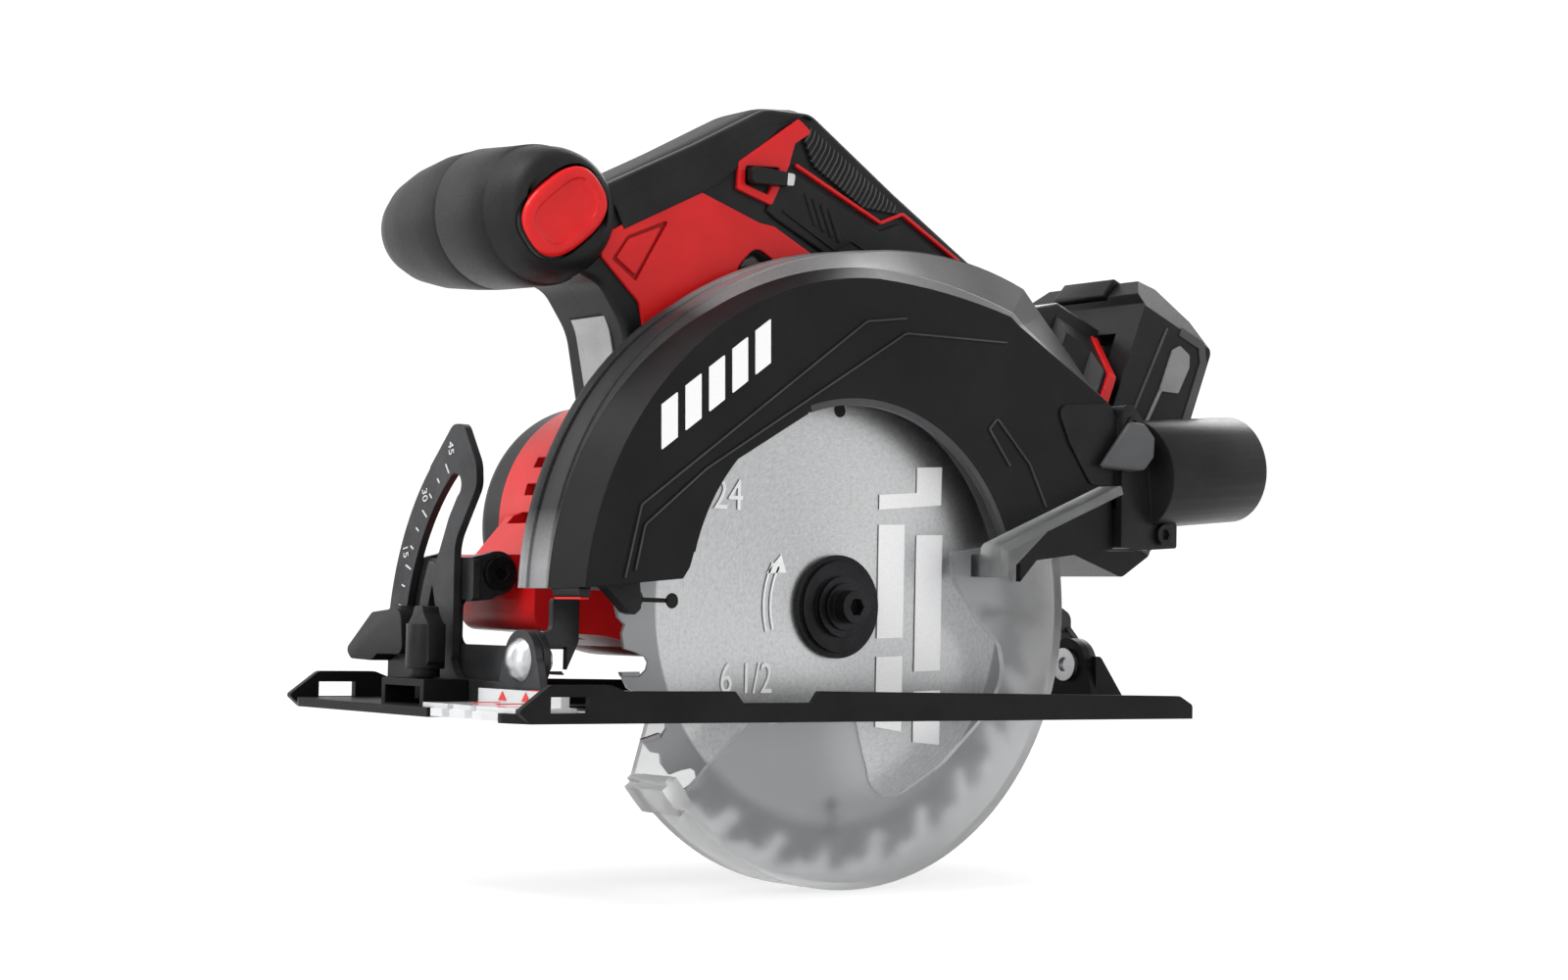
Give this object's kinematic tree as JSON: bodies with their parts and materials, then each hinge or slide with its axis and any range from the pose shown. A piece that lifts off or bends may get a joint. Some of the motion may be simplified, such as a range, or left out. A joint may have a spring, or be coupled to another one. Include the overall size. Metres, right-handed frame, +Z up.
{
  "type": "cordless circular saw",
  "caption": "Cordless circular saw: guarded blade on a tilting, depth-swinging frame over a flat shoe, motor to one side, looped rear handle, bar front handle, slide-on battery.",
  "frame": {"origin": "centre of the shoe's flat underside", "axes": "+Z up out of the shoe, -X towards the front of the saw, -Y the blade side, +Y the motor side"},
  "size_m": [0.3073, 0.1433, 0.2498],
  "materials": {
    "shoe_black": "satin black coat on stamped plate",
    "bracket_grey": "dark grey textured coat",
    "steel": "satin ground steel",
    "blade_steel": "radially polished blade steel",
    "carbide": "ground carbide",
    "guard_cast": "grey coat on casting",
    "guard_black": "matte black",
    "red_plastic": "satin red housing",
    "soft_black": "fine textured soft grip",
    "black_plastic": "fine spark-eroded black",
    "light_grey": "smooth light grey",
    "black_oxide": "blackened steel",
    "label_grey": "matt grey plate",
    "clear": "clear polycarbonate",
    "aluminium": "as-cast aluminium",
    "copper": "enamelled copper wire",
    "brass": "turned brass",
    "carbon": "pressed carbon",
    "cell_wrap": "shrink-wrapped cells"
  },
  "bodies": {
    "base": {"shoe": "shoe_black", "bevel_quadrant": "bracket_grey", "rear_bevel_lug": "shoe_black", "base_rivets": "steel", "cut_line_insert": "clear"},
    "fence_clamp": {"fence_screw": "black_plastic"},
    "tilt": {"tilt_bracket": "bracket_grey", "tilt_pins": "black_oxide", "rear_tilt_bracket": "bracket_grey"},
    "bevel_clamp": {"bevel_lever": "black_plastic"},
    "saw": {"upper_guard": "guard_cast", "guard_cover": "guard_black", "guard_bumper": "soft_black", "guard_lip": "label_grey", "return_spring": "steel", "dust_port": "black_plastic", "gear_case": "aluminium", "gear_case_cover": "aluminium", "bearings": "steel", "motor_housing": "red_plastic", "motor_end_cap": "black_plastic", "motor_can": "steel", "brush_gear": "black_plastic", "carbon_brushes": "carbon", "housing_near": "black_plastic", "housing_far": "black_plastic", "foot_shroud": "black_plastic", "front_handle": "soft_black", "front_handle_cap": "red_plastic", "column_trim": "light_grey", "spine_cover": "soft_black", "grip_cover": "soft_black", "grip_panels": "soft_black", "lock_bezels": "red_plastic", "switch_body": "black_plastic", "body_screws": "black_oxide", "depth_bolt": "black_oxide"},
    "swing_guard": {"lower_guard": "clear", "guard_lever": "clear"},
    "spindle_group": {"blade": "blade_steel", "carbide_tips": "carbide", "spindle": "steel", "outer_flange": "black_oxide", "arbor_bolt": "black_oxide", "driven_gear": "steel"},
    "rotor": {"armature": "steel", "windings": "copper", "motor_shaft": "steel", "commutator": "brass", "cooling_fan": "black_plastic"},
    "trigger_body": {"trigger": "black_plastic"},
    "lock_off_body": {"lock_off": "black_plastic"},
    "spindle_lock_body": {"spindle_lock": "black_plastic"},
    "depth_clamp": {"depth_lever": "black_plastic"},
    "battery": {"battery_case": "black_plastic", "battery_cells": "cell_wrap", "battery_labels": "label_grey"},
    "battery_latch_body": {"battery_latch": "black_plastic"}
  },
  "joints": [
    {"name": "fence_clamp_turn", "type": "hinge", "parent": "base", "child": "fence_clamp", "pos_m": [-0.1145, 0.012, 0.02], "axis": [0, 0, 1], "continuous": true},
    {"name": "bevel_swing", "type": "hinge", "parent": "base", "child": "tilt", "pos_m": [0, -0.03, 0.017], "axis": [1, 0, 0], "range_deg": [0, 45]},
    {"name": "bevel_lever_turn", "type": "hinge", "parent": "tilt", "child": "bevel_clamp", "pos_m": [-0.112, 0.036, 0.0251], "axis": [1, 0, 0], "range_deg": [0, 60]},
    {"name": "depth_swing", "type": "hinge", "parent": "tilt", "child": "saw", "pos_m": [-0.0944, 0.02, 0.0428], "axis": [0, -1, 0], "range_deg": [0, 24]},
    {"name": "guard_swing", "type": "hinge", "parent": "saw", "child": "swing_guard", "pos_m": [0, -0.043, 0.0348], "axis": [0, -1, 0], "range_deg": [0, 118], "stiffness_Nm_per_rad": 0.12, "springref_deg": -68.75},
    {"name": "blade_spin", "type": "hinge", "parent": "saw", "child": "spindle_group", "pos_m": [0, -0.043, 0.0348], "axis": [0, -1, 0], "continuous": true},
    {"name": "rotor_spin", "type": "hinge", "parent": "saw", "child": "rotor", "pos_m": [-0.02449, 0.02, 0.05981], "axis": [0, -1, 0], "continuous": true},
    {"name": "trigger_pull", "type": "hinge", "parent": "saw", "child": "trigger_body", "pos_m": [-0.008, -0.002, 0.1515], "axis": [0, -1, 0], "range_deg": [0, 11], "stiffness_Nm_per_rad": 0.5, "springref_deg": -8.59},
    {"name": "lock_off_press", "type": "hinge", "parent": "saw", "child": "lock_off_body", "pos_m": [-0.0188, -0.002, 0.1714], "axis": [0, 1, 0], "range_deg": [0, 9], "stiffness_Nm_per_rad": 0.2, "springref_deg": -5.73},
    {"name": "spindle_lock_press", "type": "slide", "parent": "saw", "child": "spindle_lock_body", "axis": [0, -1, 0], "range_m": [0, 0.003], "stiffness_N_per_m": 300, "springref_m": -0.002},
    {"name": "depth_lever_turn", "type": "hinge", "parent": "saw", "child": "depth_clamp", "pos_m": [0.08765, 0.02, 0.05553], "axis": [0, 1, 0], "range_deg": [0, 60]},
    {"name": "battery_slide", "type": "slide", "parent": "saw", "child": "battery", "axis": [0.3746, 0, 0.9272], "range_m": [0, 0.07]},
    {"name": "battery_latch_press", "type": "slide", "parent": "battery", "child": "battery_latch_body", "axis": [0.9272, 0, -0.3746], "range_m": [0, 0.0025], "stiffness_N_per_m": 300, "springref_m": -0.002}
  ],
  "couplings": [
    {"joint": "rotor_spin", "follows": "blade_spin", "ratio": -4}
  ]
}
